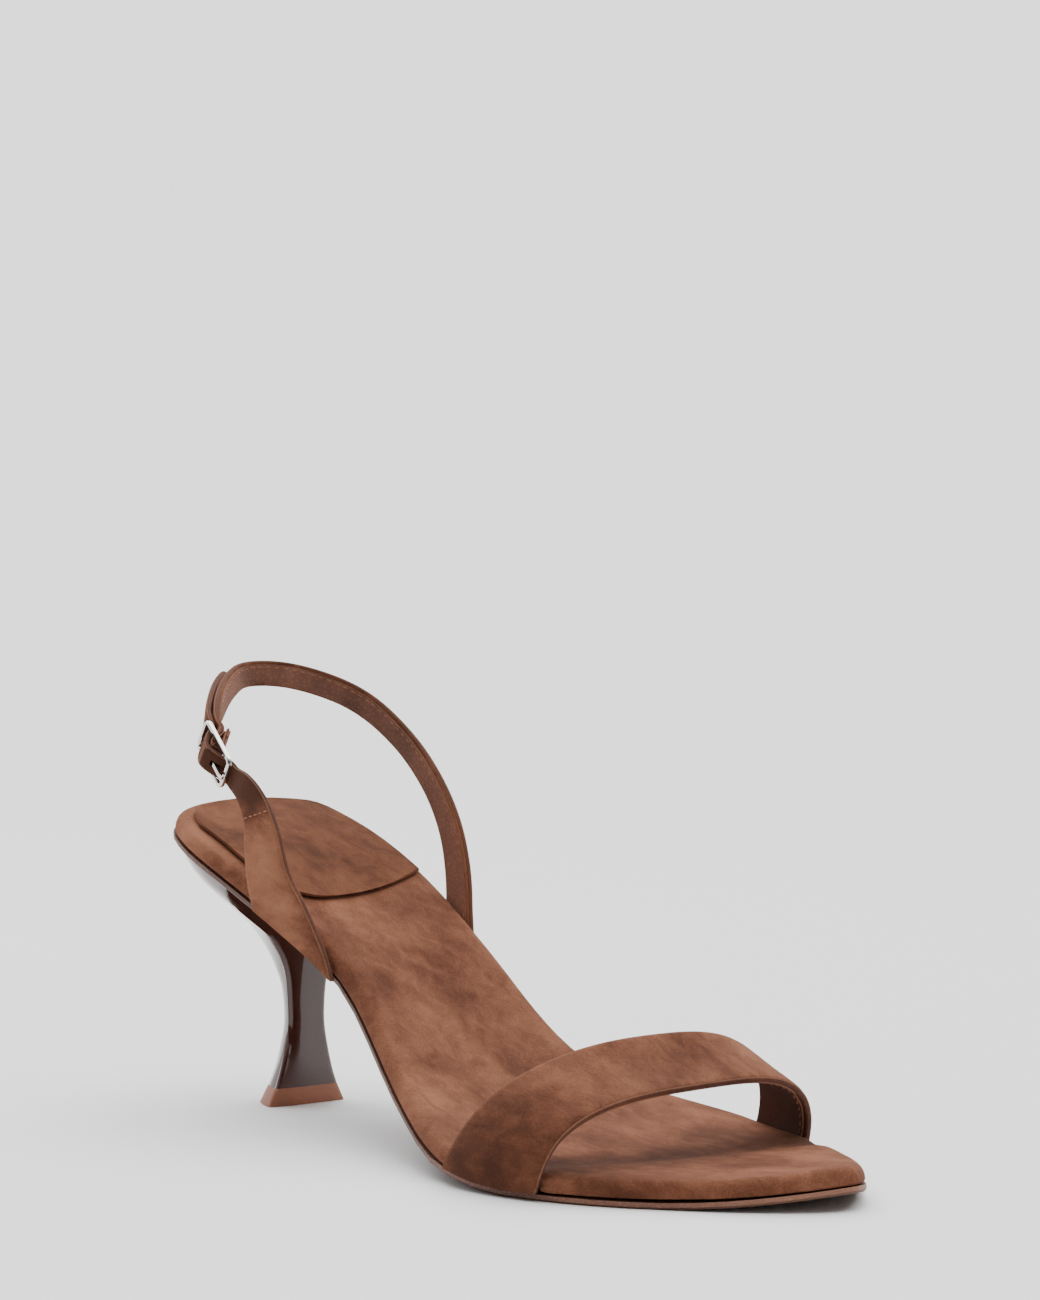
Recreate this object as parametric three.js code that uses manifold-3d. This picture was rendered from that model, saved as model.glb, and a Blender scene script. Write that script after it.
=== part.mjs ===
// Slingback sandal, right shoe, standing empty on its sole. Millimetres, +Z up.
// +X runs from the heel to the toe and +Y towards the inner (medial) side of the foot.
// All shapes are worked out from the back of the heel, and the finished shoe is then
// moved so that the origin is the tread point, where the forepart rests on the floor.

import * as THREE from 'three';
import { mergeVertices } from 'three/addons/utils/BufferGeometryUtils.js';
import Module from 'manifold-3d';

const wasm = await Module();
wasm.setup();

// Driving sizes of the last and the sole
const soleLength = 221;
const ballWidth = 83.5;
const heelRise = 68;
const toeSpring = 3.8;
const treadAt = 0.78;
const toeBreakAt = 0.86;

// Layers under the foot
const outsoleThickness = 1.4;
const outsoleEdge = 0.5;
const footbedThickness = 4.3;
const footbedRound = 2.6;
const footbedDish = 0.9;
const sockThickness = 0.8;
const sockInset = 4.2;
const sockMedialReach = 2.4;
const sockLength = 56;
const sockCorner = 12;
const sockFrontRadius = 82;
const gap = 0.3;

// Heel
const liftHeight = 4.4;
const heelBreast = 37.3;
const heelSeatWidth = 49.6;
const heelCentre = -1.3;
const seatCentre = -0.6;
const seatInset = 0.9;

// Straps
const toeStrapThickness = 1.7;
const toeStrapHeight = 28.6;
const toeStrapProud = 1.1;
const slingThickness = 1.7;
const slingWidth = 6.4;
const slingHeight = 37;
const loopThickness = 0.9;
const lateralThickness = 1.5;
const seamStep = 0.4;
const ankleAt = 40;
const edgeRound = 0.4;

// Buckle
const buckleBar = 1.1;
const buckleLength = 16.4;
const buckleWidth = slingWidth + 2 * (buckleBar + gap);
const buckleCorner = 1.8;
const buckleTilt = 38;
const prongThickness = 1;

// Outline of the sole at equal turns of a half circle laid along its length, so that the
// rows crowd towards the round ends. The columns are shares of the ball width, measured
// from the straight line down the middle of the heel.
const outline = [
  { lateral: 0, medial: 0 },
  { lateral: 0.225, medial: 0.247 },
  { lateral: 0.321, medial: 0.305 },
  { lateral: 0.313, medial: 0.315 },
  { lateral: 0.263, medial: 0.281 },
  { lateral: 0.381, medial: 0.283 },
  { lateral: 0.521, medial: 0.479 },
  { lateral: 0.455, medial: 0.437 },
  { lateral: 0.267, medial: 0.3 },
  { lateral: 0.084, medial: 0.15 },
  { lateral: -0.05, medial: 0.05 },
];

// Underside of the sole: share of the length, and share of the heel's rise.
const profile = [
  { at: 0, rise: 1 },
  { at: 0.11, rise: 0.884 },
  { at: 0.22, rise: 0.729 },
  { at: 0.33, rise: 0.535 },
  { at: 0.44, rise: 0.301 },
  { at: 0.526, rise: 0.143 },
  { at: 0.614, rise: 0.056 },
  { at: 0.67, rise: 0.023 },
  { at: 0.73, rise: 0 },
  { at: 1, rise: 0 },
];

// Level sections of the heel, from the floor to the seat: share of the height of its
// breast, width and depth as shares of the seat's, squareness of the round back, and how
// far the section tilts to meet the sloping seat.
const heelRows = [
  { up: 0, width: 0.45, depth: 0.43, square: 1.7, tilt: 0 },
  { up: 0.118, width: 0.33, depth: 0.338, square: 1.7, tilt: 0 },
  { up: 0.25, width: 0.254, depth: 0.258, square: 1.8, tilt: 0 },
  { up: 0.38, width: 0.209, depth: 0.218, square: 1.9, tilt: 0 },
  { up: 0.5, width: 0.221, depth: 0.236, square: 1.9, tilt: 0.04 },
  { up: 0.62, width: 0.27, depth: 0.361, square: 1.9, tilt: 0.1 },
  { up: 0.74, width: 0.423, depth: 0.548, square: 2.1, tilt: 0.182 },
  { up: 0.85, width: 0.725, depth: 0.8, square: 2.4, tilt: 0.257 },
  { up: 0.93, width: 0.936, depth: 0.985, square: 2.8, tilt: 0.327 },
  { up: 1, width: 0.985, depth: 0.99, square: 3.2, tilt: 0.36 },
  { up: 1.12, width: 1, depth: 1, square: 3.2, tilt: 0.36 },
];

// Toe strap: where its back edge and front edge stand, as shares of the sole's length, then
// the height of the arch, its forward lean, its skew and how square each shoulder is.
const toeStrapEdges = {
  back: {
    lateral: 0.645,
    medial: 0.678,
    height: 1.015,
    lean: 0.53,
    skew: -0.09,
    lateralSquare: 2.76,
    medialSquare: 2.2,
  },
  front: {
    lateral: 0.768,
    medial: 0.765,
    height: 0.77,
    lean: 0.39,
    skew: -0.05,
    lateralSquare: 3.7,
    medialSquare: 2.75,
  },
};

// Rows along the straps: share of the length, share of the sling's height above the
// underside of the sole, share of the ball width out from the middle, and width as a
// share of the sling's width.
const slingRows = [
  { along: 0.288, up: -0.25, out: 0.306, width: 1.5 },
  { along: 0.279, up: 0.08, out: 0.318, width: 1.44 },
  { along: 0.271, up: 0.34, out: 0.33, width: 1.38 },
  { along: 0.253, up: 0.57, out: 0.34, width: 1.25 },
  { along: 0.221, up: 0.76, out: 0.342, width: 1.12 },
  { along: 0.166, up: 0.91, out: 0.334, width: 1.03 },
  { along: 0.108, up: 1.03, out: 0.272, width: 1 },
  { along: 0.058, up: 1.08, out: 0.13, width: 1 },
  { along: 0.04, up: 1.06, out: 0.005, width: 1 },
  { along: 0.066, up: 1.04, out: -0.11, width: 1 },
  { along: 0.108, up: 0.98, out: -0.228, width: 1 },
];
const lateralRows = [
  { along: 0.312, up: -0.38, out: -0.276, width: 3.5 },
  { along: 0.294, up: -0.09, out: -0.286, width: 3.4 },
  { along: 0.283, up: 0.05, out: -0.3, width: 3.28 },
  { along: 0.272, up: 0.19, out: -0.314, width: 3 },
  { along: 0.263, up: 0.3, out: -0.325, width: 2.72 },
  { along: 0.258, up: 0.43, out: -0.334, width: 2.48 },
  { along: 0.255, up: 0.59, out: -0.341, width: 2.2 },
  { along: 0.246, up: 0.72, out: -0.344, width: 1.72 },
  { along: 0.222, up: 0.81, out: -0.345, width: 1.2 },
];
const seamAt = 7.1;
const buckleRow = { along: 0.161, up: 0.846, out: -0.336 };
const besideBar = 0.2;

// The sling's turned end round the centre bar: share of the way to the end bars, and
// share of the loop's reach out from the bar.
const loopRows = [
  { run: 0.31, out: 0.27 },
  { run: 0, out: 1 },
  { run: -0.17, out: 0 },
  { run: 0, out: -1 },
  { run: 0.42, out: -2.5 },
  { run: 0.78, out: -4.1 },
];

// The punched strap through the buckle: share of the way to the end bars, and share of the
// rise from under those bars to over the loop.
const weaveRows = [
  { run: -1.157, up: -0.045 },
  { run: -0.87, up: 0.068 },
  { run: -0.444, up: 0.636 },
  { run: 0, up: 1 },
  { run: 0.444, up: 0.66 },
  { run: 0.87, up: 0.068 },
  { run: 1.157, up: 0 },
];

// The tail lying on the sling: how far round it, in the sling's rows before its last one.
const tailPlaces = [-0.45, -0.15, 0.2, 0.55, 0.9, 1.25, 1.45];
const tailTip = 0.6;

const clamp = THREE.MathUtils.clamp;
const lerp = THREE.MathUtils.lerp;

// Reads a column between the rows of a table as a smooth curve that never overshoots.
function read(rows, column, key, value) {
  const last = rows.length - 1;
  const span = (k) => rows[k + 1][key] - rows[k][key];
  const rate = (k) => (rows[k + 1][column] - rows[k][column]) / span(k);
  const slope = (k) => {
    if (k === 0) return rate(0);
    if (k === last) return rate(last - 1);
    const product = rate(k - 1) * rate(k);
    return product <= 0 ? 0 : (2 * product) / (rate(k - 1) + rate(k));
  };
  let k = 0;
  while (k < last - 1 && value > rows[k + 1][key]) k += 1;
  const u = clamp((value - rows[k][key]) / span(k), 0, 1);
  const v = 1 - u;
  const start = v * v * ((1 + 2 * u) * rows[k][column] + u * span(k) * slope(k));
  const end = u * u * ((1 + 2 * v) * rows[k + 1][column] - v * span(k) * slope(k + 1));
  return start + end;
}

// Height of the sole's underside above the floor, carried on straight past both ends.
function soleRise(x) {
  const inside = clamp(x, 0, soleLength);
  const share = inside / soleLength;
  const toe = Math.max(0, (share - toeBreakAt) / (1 - toeBreakAt));
  const rise = heelRise * read(profile, 'rise', 'at', share) + toeSpring * toe * toe;
  return inside === x ? rise : rise + soleSlope(inside) * (x - inside);
}

function soleSlope(x) {
  const step = 0.5;
  const middle = clamp(x, step, soleLength - step);
  return (soleRise(middle + step) - soleRise(middle - step)) / (2 * step);
}

// A point above the underside of the sole, measured square to it.
function lifted(x, y, height) {
  const slope = soleSlope(x);
  const run = Math.hypot(1, slope);
  return new THREE.Vector3(x - (height * slope) / run, y, soleRise(x) + height / run);
}

const outlineCurve = new THREE.SplineCurve(
  outline.map((row) => new THREE.Vector2(row.lateral, row.medial)),
);

// Plan of the outline at a turn from 0 at the heel to 1 at the toe, moved inwards.
function rim(turn, side, inset) {
  const plan = (t) => {
    const row = outlineCurve.getPoint(clamp(t, 0, 1));
    const y = side < 0 ? -row.x : row.y;
    return new THREE.Vector2((soleLength * (1 - Math.cos(Math.PI * t))) / 2, y * ballWidth);
  };
  const point = plan(turn);
  if (turn <= 0) return point.add(new THREE.Vector2(inset, 0));
  if (turn >= 1) return point.sub(new THREE.Vector2(inset, 0));
  const step = 0.002;
  const ahead = plan(turn + step).sub(plan(turn - step)).normalize();
  const inwards = new THREE.Vector2(side * ahead.y, -side * ahead.x);
  return point.addScaledVector(inwards, inset);
}

function turnAt(x) {
  return Math.acos(clamp(1 - (2 * x) / soleLength, -1, 1)) / Math.PI;
}

// Closes a list of quads and triangles into one body with its faces pointing out.
function body(points, faces) {
  const loose = new THREE.BufferGeometry();
  loose.setAttribute(
    'position',
    new THREE.Float32BufferAttribute(points.flatMap((p) => [p.x, p.y, p.z]), 3),
  );
  const split = (f) => (f.length === 4 ? [[f[0], f[1], f[2]], [f[0], f[2], f[3]]] : [f]);
  loose.setIndex(faces.flatMap(split).flat());
  const merged = mergeVertices(loose, 1e-4);
  const index = merged.getIndex().array;
  const position = merged.getAttribute('position');
  const corner = (k) => new THREE.Vector3().fromBufferAttribute(position, k);
  const kept = [];
  let volume = 0;
  for (let k = 0; k < index.length; k += 3) {
    const [a, b, c] = [index[k], index[k + 1], index[k + 2]];
    if (a === b || b === c || c === a) continue;
    volume += corner(a).dot(corner(b).cross(corner(c)));
    kept.push([a, b, c]);
  }
  merged.setIndex(kept.flatMap(([a, b, c]) => (volume < 0 ? [a, c, b] : [a, b, c])));
  return merged;
}

// Joins a row of closed rings, each with as many points, and closes both ends.
function loft(rings) {
  const count = rings[0].length;
  const points = rings.flat();
  const faces = [];
  for (let k = 0; k + 1 < rings.length; k += 1) {
    for (let j = 0; j < count; j += 1) {
      const next = (j + 1) % count;
      const low = k * count;
      faces.push([low + j, low + next, low + count + next, low + count + j]);
    }
  }
  [0, rings.length - 1].forEach((k) => {
    const middle = new THREE.Vector3();
    rings[k].forEach((p) => middle.addScaledVector(p, 1 / count));
    points.push(middle);
    for (let j = 0; j < count; j += 1) {
      const edge = [k * count + j, k * count + ((j + 1) % count)];
      faces.push(k === 0 ? [edge[1], edge[0], points.length - 1] : [...edge, points.length - 1]);
    }
  });
  return body(points, faces);
}

// A layer of the sole. Its wall is a list of levels, each with its inset from the outline
// and its height above the underside. Its upper face dips by the dish, and its medial
// edge can reach further out than the lateral one.
function layer({ levels, dish = 0, medialReach = 0, stations = 40, columns = 6 }) {
  const edge = (turn, side, level) => {
    const reach = side > 0 ? medialReach * Math.sin(Math.PI * turn) : 0;
    return rim(turn, side, level.inset - reach);
  };
  const across = (turn, level, sag) => {
    const [from, to] = [-1, 1].map((side) => edge(turn, side, level));
    const row = [];
    for (let c = 1; c < columns; c += 1) {
      const share = c / columns;
      const plan = from.clone().lerp(to, share);
      const dip = sag * Math.sin(Math.PI * share) * Math.sin(Math.PI * turn);
      row.push(lifted(plan.x, plan.y, level.height - dip));
    }
    return row;
  };
  const wall = (turn, side) => levels.map((level) => {
    const plan = edge(turn, side, level);
    return lifted(plan.x, plan.y, level.height);
  });
  const rings = [];
  for (let k = 0; k <= stations; k += 1) {
    const turn = k / stations;
    rings.push([
      ...wall(turn, -1),
      ...across(turn, levels[levels.length - 1], dish),
      ...wall(turn, 1).reverse(),
      ...across(turn, levels[0], 0).reverse(),
    ]);
  }
  const count = rings[0].length;
  const faces = [];
  for (let k = 0; k < stations; k += 1) {
    for (let j = 0; j < count; j += 1) {
      const next = (j + 1) % count;
      const low = k * count;
      faces.push([low + j, low + next, low + count + next, low + count + j]);
    }
  }
  return body(rings.flat(), faces);
}

// A curved wall with soft edges. Its face gives the outer surface at a share along and a
// share across, and its inner surface lies a thickness below, square to the face.
function wall({ face, thickness, width, steps, columns, grow = 0 }) {
  const step = 1e-3;
  const normal = (s, v) => {
    const along = face(s + step, v).sub(face(s - step, v));
    const across = face(s, v + step).sub(face(s, v - step));
    return along.cross(across).normalize();
  };
  const rings = [];
  for (let k = 0; k <= steps; k += 1) {
    const s = k / steps;
    const spare = grow / width(s);
    const soft = edgeRound / width(s);
    const deep = thickness(s) + 2 * grow;
    const inner = [];
    for (let c = 0; c <= columns; c += 1) inner.push(lerp(soft, 1 - soft, c / columns));
    const shares = [-spare, ...inner, 1 + spare];
    const sink = shares.map((v, c) => (c === 0 || c === shares.length - 1 ? edgeRound : 0));
    const at = (v, depth) => face(s, v).addScaledVector(normal(s, v), grow - depth);
    const outer = shares.map((v, c) => at(v, sink[c]));
    const under = shares.map((v, c) => at(v, deep - sink[c]));
    rings.push([...outer, ...under.reverse()]);
  }
  return loft(rings);
}

// Joins and cuts
function solid(geometry) {
  const bare = geometry.clone();
  bare.deleteAttribute('normal');
  bare.deleteAttribute('uv');
  const merged = mergeVertices(bare, 1e-5);
  return new wasm.Manifold(new wasm.Mesh({
    numProp: 3,
    vertProperties: Float32Array.from(merged.getAttribute('position').array),
    triVerts: Uint32Array.from(merged.getIndex().array),
  }));
}

function shell(manifold) {
  const mesh = manifold.getMesh();
  const geometry = new THREE.BufferGeometry();
  geometry.setAttribute('position', new THREE.BufferAttribute(mesh.vertProperties, 3));
  geometry.setIndex(new THREE.BufferAttribute(mesh.triVerts, 1));
  return geometry;
}

function cut(geometry, ...tools) {
  return shell(tools.reduce((left, tool) => left.subtract(solid(tool)), solid(geometry)));
}

function overlap(first, second) {
  return shell(solid(first).intersect(solid(second)));
}

function join(...geometries) {
  return shell(geometries.map(solid).reduce((all, next) => all.add(next)));
}

// Sole layers
const footbedBase = outsoleThickness + gap;
const footbedTop = footbedBase + footbedThickness;
const outsideReach = 12;

function outsole() {
  return layer({
    columns: 4,
    levels: [
      { inset: outsoleEdge, height: 0 },
      { inset: 0, height: outsoleEdge },
      { inset: 0, height: outsoleThickness },
    ],
  });
}

function belowFootbed() {
  return layer({
    columns: 4,
    levels: [
      { inset: -outsideReach, height: -outsideReach * 2 },
      { inset: -outsideReach, height: footbedBase },
    ],
  });
}

function footbed() {
  const softly = (share) => ({
    inset: footbedRound * (1 - Math.cos((share * Math.PI) / 2)),
    height: footbedTop - footbedRound * (1 - Math.sin((share * Math.PI) / 2)),
  });
  return layer({
    dish: footbedDish,
    levels: [
      { inset: outsoleEdge, height: footbedBase },
      { inset: 0, height: footbedBase + outsoleEdge },
      ...[0, 0.33, 0.67, 1].map(softly),
    ],
  });
}

// The sock lies on the heel end of the footbed. Its front edge is a flat curve from a
// round lateral corner, back towards the medial edge.
function sock() {
  const base = footbedTop + gap;
  const whole = layer({
    dish: footbedDish,
    medialReach: sockMedialReach,
    levels: [
      { inset: sockInset, height: base },
      { inset: sockInset, height: base + sockThickness / 2 },
      { inset: sockInset + sockThickness / 2, height: base + sockThickness },
    ],
  });
  const side = sockInset - outline[3].lateral * ballWidth;
  const cornerAt = side + sockCorner;
  const far = ballWidth / 2;
  const sweep = Math.asin((far - cornerAt) / sockFrontRadius);
  const plan = new THREE.Shape();
  plan.moveTo(-soleLength, side);
  plan.lineTo(sockLength - sockCorner, side);
  plan.absarc(sockLength - sockCorner, cornerAt, sockCorner, -Math.PI / 2, 0);
  plan.absarc(sockLength - sockFrontRadius, cornerAt, sockFrontRadius, 0, sweep);
  plan.lineTo(-soleLength, far);
  const block = new THREE.ExtrudeGeometry(plan, {
    depth: 2 * heelRise,
    bevelEnabled: false,
    curveSegments: 6,
  });
  return overlap(whole, block);
}

// Heel: level rings with a flat breast and a round back.
const breastHeight = soleRise(heelBreast);

function heelRing(up) {
  const width = heelSeatWidth * read(heelRows, 'width', 'up', up);
  const depth = (heelBreast - seatInset) * read(heelRows, 'depth', 'up', up);
  const square = read(heelRows, 'square', 'up', up);
  const tilt = read(heelRows, 'tilt', 'up', up);
  const centre = lerp(heelCentre, seatCentre, clamp(2 * up - 1, 0, 1));
  const ring = [];
  const point = (back, aside) => {
    const x = heelBreast - back * depth;
    const z = up * breastHeight + tilt * back * depth;
    ring.push(new THREE.Vector3(x, centre + (aside * width) / 2, z));
  };
  const breastSteps = 6;
  for (let k = 0; k < breastSteps; k += 1) point(0, 1 - (2 * k) / breastSteps);
  const backSteps = 24;
  for (let k = 0; k < backSteps; k += 1) {
    const angle = (Math.PI * k) / backSteps;
    const aside = Math.abs(Math.cos(angle)) ** (2 / square);
    point(Math.sin(angle) ** (2 / square), -Math.sign(Math.cos(angle)) * aside);
  }
  return ring;
}

function heelBetween(low, high, steps) {
  const rings = [];
  for (let k = 0; k <= steps; k += 1) rings.push(heelRing(lerp(low, high, k / steps)));
  return loft(rings);
}

function aboveHeel() {
  return layer({
    columns: 4,
    levels: [
      { inset: -outsideReach, height: -gap },
      { inset: -outsideReach, height: outsideReach * 2 },
    ],
  });
}

const liftShare = liftHeight / breastHeight;

function heelTopPiece() {
  return heelBetween(0, liftShare, 4);
}

function heel() {
  return cut(heelBetween(liftShare, 1.12, 25), aboveHeel());
}

// Toe strap: a family of arches from the lateral side of the sole to the medial side.
// Their feet start below the outsole and are cut off where they stand on it.
function toeStrapFace(s, v) {
  const { back, front } = toeStrapEdges;
  const column = (name) => lerp(back[name], front[name], v);
  const foot = (side, share) => {
    const plan = rim(turnAt(share * soleLength), side, -toeStrapProud);
    return lifted(plan.x, plan.y, -outsoleThickness);
  };
  const angle = Math.PI * clamp(s, 0, 1);
  const across = Math.cos(angle);
  const square = lerp(column('lateralSquare'), column('medialSquare'), (1 - across) / 2);
  const power = 2 / square;
  const aside = Math.sign(across) * Math.abs(across) ** power;
  const climb = Math.sin(angle) ** power * (1 + column('skew') * across);
  const up = (toeStrapHeight * column('height') + outsoleThickness) * climb;
  const point = foot(-1, column('lateral')).lerp(foot(1, column('medial')), (1 - aside) / 2);
  return point.add(new THREE.Vector3(column('lean') * up, 0, up));
}

function toeStrapWall(grow) {
  return wall({
    face: (s, v) => toeStrapFace(1 - s, v),
    thickness: () => toeStrapThickness,
    width: () => soleLength * (toeStrapEdges.front.lateral - toeStrapEdges.back.lateral),
    steps: 40,
    columns: 4,
    grow,
  });
}

// Sling and lateral strap: ribbons led through sections, each with its centre, the
// direction across the strap, its width and its thickness.
function awayFromAnkle(point) {
  return new THREE.Vector3(Math.min(point.x - ankleAt, 0), point.y, 0).normalize();
}

function strapPoint(row) {
  const x = row.along * soleLength;
  return new THREE.Vector3(x, row.out * ballWidth, soleRise(x) + row.up * slingHeight);
}

const buckleCentre = strapPoint(buckleRow);
const buckleOut = awayFromAnkle(buckleCentre);
const tilt = THREE.MathUtils.degToRad(buckleTilt);
const buckleRun = new THREE.Vector3(buckleOut.y, -buckleOut.x, 0)
  .multiplyScalar(Math.cos(tilt))
  .add(new THREE.Vector3(0, 0, Math.sin(tilt)));
const buckleAcross = buckleOut.clone().cross(buckleRun);
const barReach = (buckleLength - buckleBar) / 2;

function onBuckle(run, out) {
  return buckleCentre.clone().addScaledVector(buckleRun, run).addScaledVector(buckleOut, out);
}

function rowSections(rows, thickness) {
  return rows.map((row) => ({
    centre: strapPoint(row),
    width: row.width * slingWidth,
    thickness,
  }));
}

function buckleSection(run, out, thickness, direction) {
  return {
    centre: onBuckle(run, out),
    across: buckleAcross.clone().multiplyScalar(direction),
    width: slingWidth,
    thickness,
  };
}

function ribbonCurves(sections) {
  const last = sections.length - 1;
  const path = new THREE.CatmullRomCurve3(sections.map((section) => section.centre));
  const across = sections.map((section, k) => section.across
    ?? awayFromAnkle(section.centre).cross(path.getTangent(k / last)).normalize());
  const sizes = sections.map((section) => new THREE.Vector2(section.width, section.thickness));
  const turn = new THREE.CatmullRomCurve3(across);
  const size = (s) => {
    const k = Math.min(Math.floor(clamp(s, 0, 1) * last), last - 1);
    return sizes[k].clone().lerp(sizes[k + 1], clamp(s, 0, 1) * last - k);
  };
  return { path, turn, size, last };
}

function ribbon({ curves, steps, columns, overlay = () => 0, grow }) {
  const { path, turn, size } = curves;
  const face = (s, v) => {
    const at = clamp(s, 0, 1);
    const tangent = path.getTangent(at);
    const across = turn.getPoint(at).normalize();
    const out = tangent.clone().cross(across).normalize();
    return path.getPoint(at)
      .addScaledVector(tangent, s - at)
      .addScaledVector(across, (v - 0.5) * size(s).x)
      .addScaledVector(out, size(s).y / 2 + overlay(s));
  };
  return wall({
    face,
    thickness: (s) => size(s).y + overlay(s),
    width: (s) => size(s).x,
    steps,
    columns,
    grow,
  });
}

// The sling comes up from the medial side, runs round the back of the ankle, passes under
// the buckle's upper bar and ends in a turned loop on its centre bar.
const underBar = -(buckleBar / 2 + gap);
const loopReach = buckleBar / 2 + gap + loopThickness / 2;
const slingUnder = underBar - lateralThickness - gap - slingThickness / 2;
const slingCurves = ribbonCurves([
  ...rowSections(slingRows, slingThickness),
  buckleSection(barReach * (1 + besideBar), slingUnder, slingThickness, -1),
  buckleSection(barReach * (1 - besideBar), slingUnder, slingThickness, -1),
  ...loopRows.map(({ run, out }) => (
    buckleSection(run * barReach, out * loopReach, loopThickness, -1)
  )),
]);

function slingWall(grow) {
  return ribbon({ curves: slingCurves, steps: 76, columns: 3, grow });
}

// The lateral strap comes up from a wide gusset, narrows above a seam, passes under the
// buckle's end bar, over the loop, under the upper bar, and its tail lies on the sling.
const lateralUnder = underBar - lateralThickness / 2;
const overLoop = loopReach + (loopThickness + lateralThickness) / 2 + gap;
const tailOffset = (slingThickness + lateralThickness) / 2 + gap;

function tailSections() {
  const row = slingRows.length - 1;
  return tailPlaces.map((place, k) => {
    const at = (row - place) / slingCurves.last;
    const tangent = slingCurves.path.getTangent(at);
    const across = slingCurves.turn.getPoint(at).normalize();
    const out = tangent.cross(across).normalize();
    return {
      centre: slingCurves.path.getPoint(at).addScaledVector(out, tailOffset),
      across: across.negate(),
      width: slingWidth * (k === tailPlaces.length - 1 ? tailTip : 1),
      thickness: lateralThickness,
    };
  });
}

const lateralCurves = ribbonCurves([
  ...rowSections(lateralRows, lateralThickness),
  ...weaveRows.map(({ run, up }) => (
    buckleSection(run * barReach, lerp(lateralUnder, overLoop, up), lateralThickness, 1)
  )),
  ...tailSections(),
]);

function lateralWall(grow) {
  const gusset = (s) => (s * lateralCurves.last < seamAt ? seamStep : 0);
  return ribbon({ curves: lateralCurves, steps: 74, columns: 3, overlay: gusset, grow });
}

// Buckle: a flat frame with round corners and a centre bar, and a prong that turns on the
// bar and rests on the end bar.
const buckleFrameMatrix = new THREE.Matrix4()
  .makeBasis(buckleAcross, buckleRun, buckleOut.clone().negate())
  .setPosition(buckleCentre);

function roundedRectangle(width, length, radius) {
  const [x, y] = [width / 2 - radius, length / 2 - radius];
  const shape = new THREE.Shape();
  shape.absarc(x, y, radius, 0, Math.PI / 2);
  shape.absarc(-x, y, radius, Math.PI / 2, Math.PI);
  shape.absarc(-x, -y, radius, Math.PI, 1.5 * Math.PI);
  shape.absarc(x, -y, radius, 1.5 * Math.PI, 2 * Math.PI);
  shape.closePath();
  return shape;
}

function buckleFrame() {
  const bevel = buckleBar / 4;
  const inside = 2 * (buckleBar - bevel);
  const shape = roundedRectangle(buckleWidth - 2 * bevel, buckleLength - 2 * bevel, buckleCorner);
  const hole = roundedRectangle(buckleWidth - inside, buckleLength - inside, buckleCorner / 2);
  shape.holes.push(hole);
  const frame = new THREE.ExtrudeGeometry(shape, {
    depth: buckleBar - 2 * bevel,
    bevelThickness: bevel,
    bevelSize: bevel,
    bevelSegments: 2,
    curveSegments: 4,
  });
  frame.translate(0, 0, bevel - buckleBar / 2);
  const bar = new THREE.CylinderGeometry(buckleBar / 2, buckleBar / 2, buckleWidth - buckleBar, 12);
  bar.rotateZ(Math.PI / 2);
  return join(frame, bar).applyMatrix4(buckleFrameMatrix);
}

function bucklePin(grow) {
  const ringRadius = buckleBar / 2 + gap + prongThickness;
  const tip = barReach + buckleBar;
  const low = buckleBar / 2 + gap - grow;
  const high = low + prongThickness + 2 * grow;
  const shape = new THREE.Shape();
  shape.moveTo(0, low);
  shape.lineTo(-tip - grow, low);
  shape.lineTo(-tip - grow, lerp(low, high, 0.6));
  shape.lineTo(-barReach, high);
  shape.lineTo(0, high);
  shape.closePath();
  const depth = prongThickness + 2 * grow;
  const arm = new THREE.ExtrudeGeometry(shape, { depth, bevelEnabled: false });
  arm.translate(0, 0, -depth / 2);
  const ring = new THREE.CylinderGeometry(ringRadius + grow, ringRadius + grow, depth, 20);
  ring.rotateX(Math.PI / 2);
  const side = new THREE.Matrix4().makeBasis(
    new THREE.Vector3(0, 1, 0),
    new THREE.Vector3(0, 0, -1),
    new THREE.Vector3(-1, 0, 0),
  );
  return join(arm, ring).applyMatrix4(side).applyMatrix4(buckleFrameMatrix);
}

function buckleProng() {
  const bore = new THREE.CylinderGeometry(
    buckleBar / 2 + gap,
    buckleBar / 2 + gap,
    buckleWidth,
    20,
  );
  bore.rotateZ(Math.PI / 2);
  bore.applyMatrix4(buckleFrameMatrix);
  return cut(bucklePin(0), bore);
}

// Materials
const suede = { color: 0x7d5138, roughness: 0.95, metalness: 0 };
const finishes = {
  suede,
  sock: { ...suede, color: 0x74482f },
  sole: { color: 0x8a5a3c, roughness: 0.6, metalness: 0 },
  heel: { color: 0x3a211a, roughness: 0.18, metalness: 0 },
  lift: { color: 0x9a6248, roughness: 0.55, metalness: 0 },
  metal: { color: 0xd8d6d2, roughness: 0.22, metalness: 1 },
};

const shoe = new THREE.Group();
shoe.position.x = -treadAt * soleLength;

function add(name, geometry, finish) {
  const material = new THREE.MeshStandardMaterial(finishes[finish]);
  const mesh = new THREE.Mesh(geometry, material);
  mesh.name = name;
  shoe.add(mesh);
}

const ground = belowFootbed();
const seats = [toeStrapWall(gap), slingWall(gap), lateralWall(gap)];
add('outsole', outsole(), 'sole');
add('footbed', cut(footbed(), ...seats), 'suede');
add('heel_sock', sock(), 'sock');
add('heel', heel(), 'heel');
add('heel_top_piece', heelTopPiece(), 'lift');
add('toe_strap', cut(toeStrapWall(0), ground), 'suede');
add('sling_strap', cut(slingWall(0), ground, bucklePin(gap)), 'suede');
add('lateral_strap', cut(lateralWall(0), ground, bucklePin(gap)), 'suede');
add('buckle_frame', buckleFrame(), 'metal');
add('buckle_prong', buckleProng(), 'metal');

export default shoe;
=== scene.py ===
import math
import random

import bpy
from mathutils import Matrix, Vector
from mathutils.kdtree import KDTree


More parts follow.
